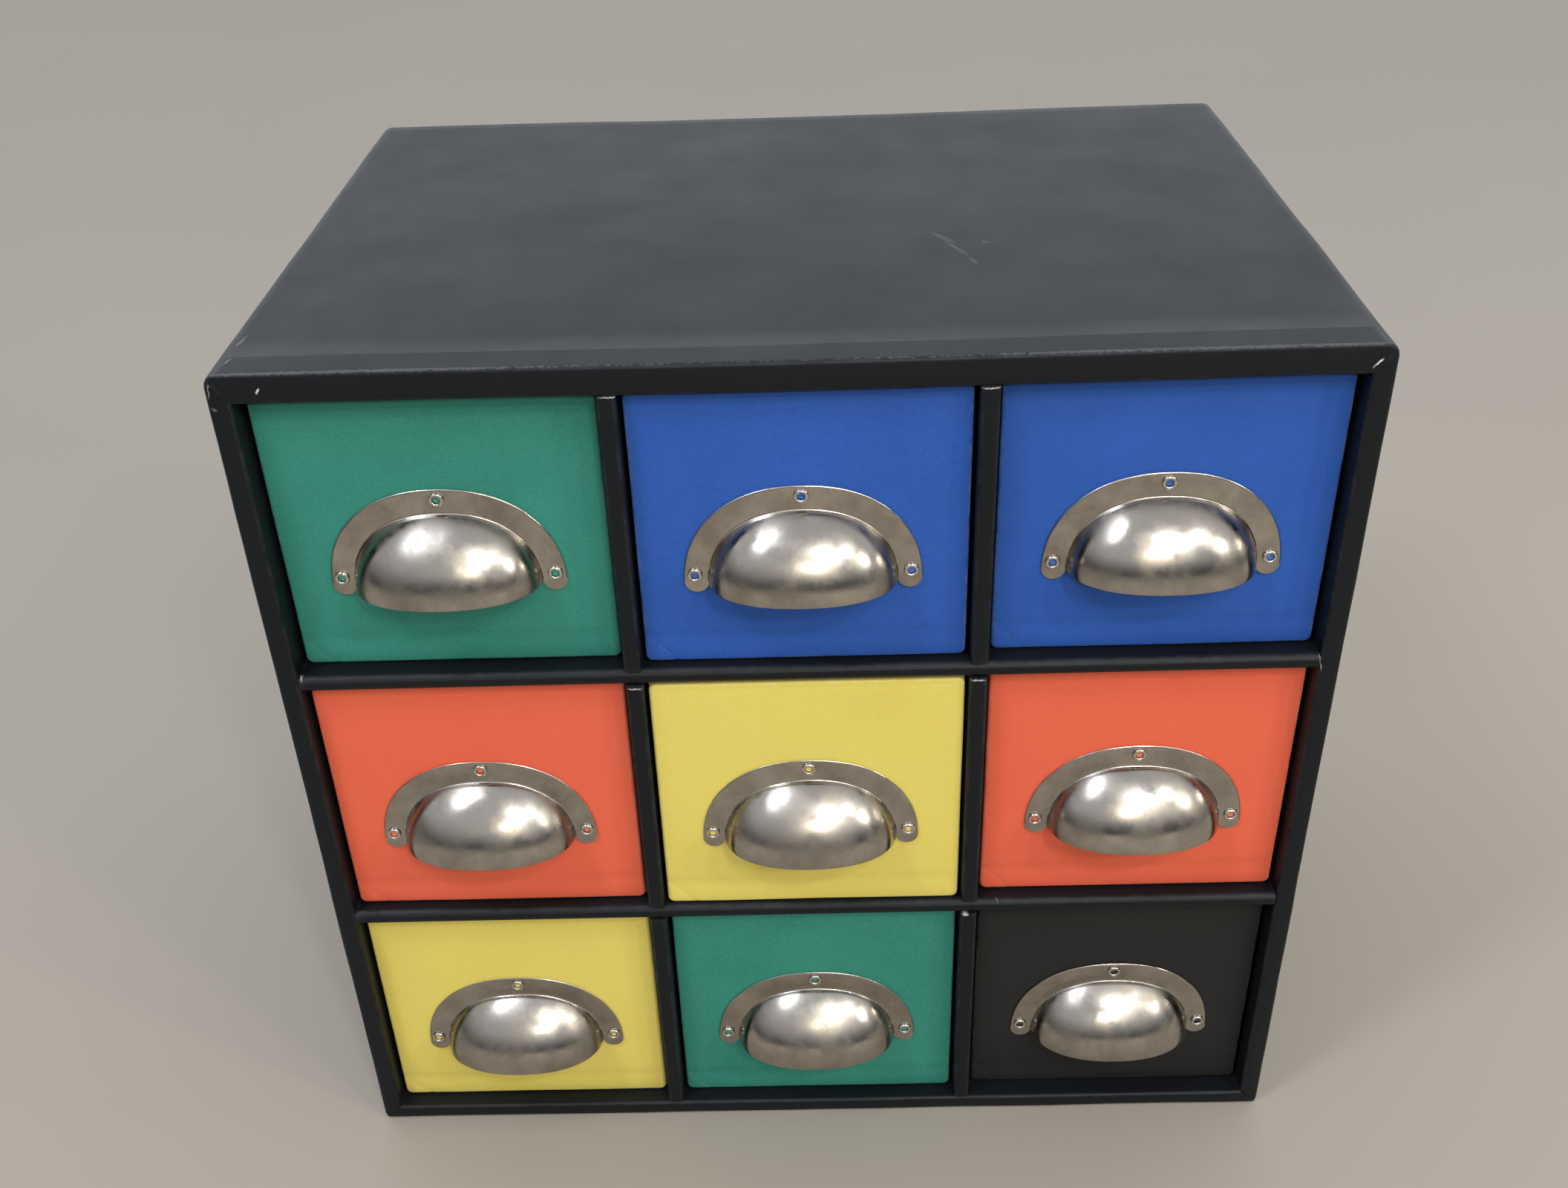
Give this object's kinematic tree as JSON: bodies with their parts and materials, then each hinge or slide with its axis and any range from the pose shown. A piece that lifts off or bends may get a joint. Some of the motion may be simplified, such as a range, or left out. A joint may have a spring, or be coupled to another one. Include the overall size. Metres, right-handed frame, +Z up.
{
  "type": "drawer cabinet",
  "caption": "Free-standing desk cabinet of paper-covered board with a grid of sliding drawers, each with a pressed metal cup pull held by tubular rivets.",
  "frame": {"origin": "middle of the carcass's underside", "axes": "+Z up, -Y out of the drawer fronts, +X to the right as seen from the front"},
  "size_m": [0.35, 0.263, 0.328],
  "materials": {
    "black_paper_board": "matt black bookbinding paper",
    "green_paper_board": "matt green paper",
    "blue_paper_board": "matt blue paper",
    "orange_paper_board": "matt orange-red paper",
    "yellow_paper_board": "matt yellow paper",
    "charcoal_paper_board": "matt charcoal paper",
    "nickel_plate": "worn bright nickel plate on pressed steel",
    "rivet_nickel": "bright nickel plate"
  },
  "bodies": {
    "cabinet": {"top_board": "black_paper_board", "bottom_board": "black_paper_board", "left_side_board": "black_paper_board", "right_side_board": "black_paper_board", "back_board": "black_paper_board", "upper_shelf": "black_paper_board", "lower_shelf": "black_paper_board", "upper_left_divider": "black_paper_board", "upper_right_divider": "black_paper_board", "middle_left_divider": "black_paper_board", "middle_right_divider": "black_paper_board", "lower_left_divider": "black_paper_board", "lower_right_divider": "black_paper_board"},
    "upper_left_drawer": {"upper_left_drawer_front": "green_paper_board", "upper_left_drawer_walls": "green_paper_board", "upper_left_drawer_bottom": "green_paper_board", "upper_left_cup_pull": "nickel_plate", "upper_left_pull_rivets": "rivet_nickel"},
    "upper_centre_drawer": {"upper_centre_drawer_front": "blue_paper_board", "upper_centre_drawer_walls": "blue_paper_board", "upper_centre_drawer_bottom": "blue_paper_board", "upper_centre_cup_pull": "nickel_plate", "upper_centre_pull_rivets": "rivet_nickel"},
    "upper_right_drawer": {"upper_right_drawer_front": "blue_paper_board", "upper_right_drawer_walls": "blue_paper_board", "upper_right_drawer_bottom": "blue_paper_board", "upper_right_cup_pull": "nickel_plate", "upper_right_pull_rivets": "rivet_nickel"},
    "middle_left_drawer": {"middle_left_drawer_front": "orange_paper_board", "middle_left_drawer_walls": "orange_paper_board", "middle_left_drawer_bottom": "orange_paper_board", "middle_left_cup_pull": "nickel_plate", "middle_left_pull_rivets": "rivet_nickel"},
    "middle_centre_drawer": {"middle_centre_drawer_front": "yellow_paper_board", "middle_centre_drawer_walls": "yellow_paper_board", "middle_centre_drawer_bottom": "yellow_paper_board", "middle_centre_cup_pull": "nickel_plate", "middle_centre_pull_rivets": "rivet_nickel"},
    "middle_right_drawer": {"middle_right_drawer_front": "orange_paper_board", "middle_right_drawer_walls": "orange_paper_board", "middle_right_drawer_bottom": "orange_paper_board", "middle_right_cup_pull": "nickel_plate", "middle_right_pull_rivets": "rivet_nickel"},
    "lower_left_drawer": {"lower_left_drawer_front": "yellow_paper_board", "lower_left_drawer_walls": "yellow_paper_board", "lower_left_drawer_bottom": "yellow_paper_board", "lower_left_cup_pull": "nickel_plate", "lower_left_pull_rivets": "rivet_nickel"},
    "lower_centre_drawer": {"lower_centre_drawer_front": "green_paper_board", "lower_centre_drawer_walls": "green_paper_board", "lower_centre_drawer_bottom": "green_paper_board", "lower_centre_cup_pull": "nickel_plate", "lower_centre_pull_rivets": "rivet_nickel"},
    "lower_right_drawer": {"lower_right_drawer_front": "charcoal_paper_board", "lower_right_drawer_walls": "charcoal_paper_board", "lower_right_drawer_bottom": "charcoal_paper_board", "lower_right_cup_pull": "nickel_plate", "lower_right_pull_rivets": "rivet_nickel"}
  },
  "joints": [
    {"name": "upper_left_drawer_slide", "type": "slide", "parent": "cabinet", "child": "upper_left_drawer", "axis": [0, -1, 0], "range_m": [-0.00054, 0.185]},
    {"name": "upper_centre_drawer_slide", "type": "slide", "parent": "cabinet", "child": "upper_centre_drawer", "axis": [0, -1, 0], "range_m": [-0.00396, 0.185]},
    {"name": "upper_right_drawer_slide", "type": "slide", "parent": "cabinet", "child": "upper_right_drawer", "axis": [0, -1, 0], "range_m": [-0.00144, 0.185]},
    {"name": "middle_left_drawer_slide", "type": "slide", "parent": "cabinet", "child": "middle_left_drawer", "axis": [0, -1, 0], "range_m": [-0.00342, 0.185]},
    {"name": "middle_centre_drawer_slide", "type": "slide", "parent": "cabinet", "child": "middle_centre_drawer", "axis": [0, -1, 0], "range_m": [-0.00648, 0.185]},
    {"name": "middle_right_drawer_slide", "type": "slide", "parent": "cabinet", "child": "middle_right_drawer", "axis": [0, -1, 0], "range_m": [-0.00261, 0.185]},
    {"name": "lower_left_drawer_slide", "type": "slide", "parent": "cabinet", "child": "lower_left_drawer", "axis": [0, -1, 0], "range_m": [-0.0027, 0.185]},
    {"name": "lower_centre_drawer_slide", "type": "slide", "parent": "cabinet", "child": "lower_centre_drawer", "axis": [0, -1, 0], "range_m": [-0.00279, 0.185]},
    {"name": "lower_right_drawer_slide", "type": "slide", "parent": "cabinet", "child": "lower_right_drawer", "axis": [0, -1, 0], "range_m": [-0.00144, 0.185]}
  ]
}
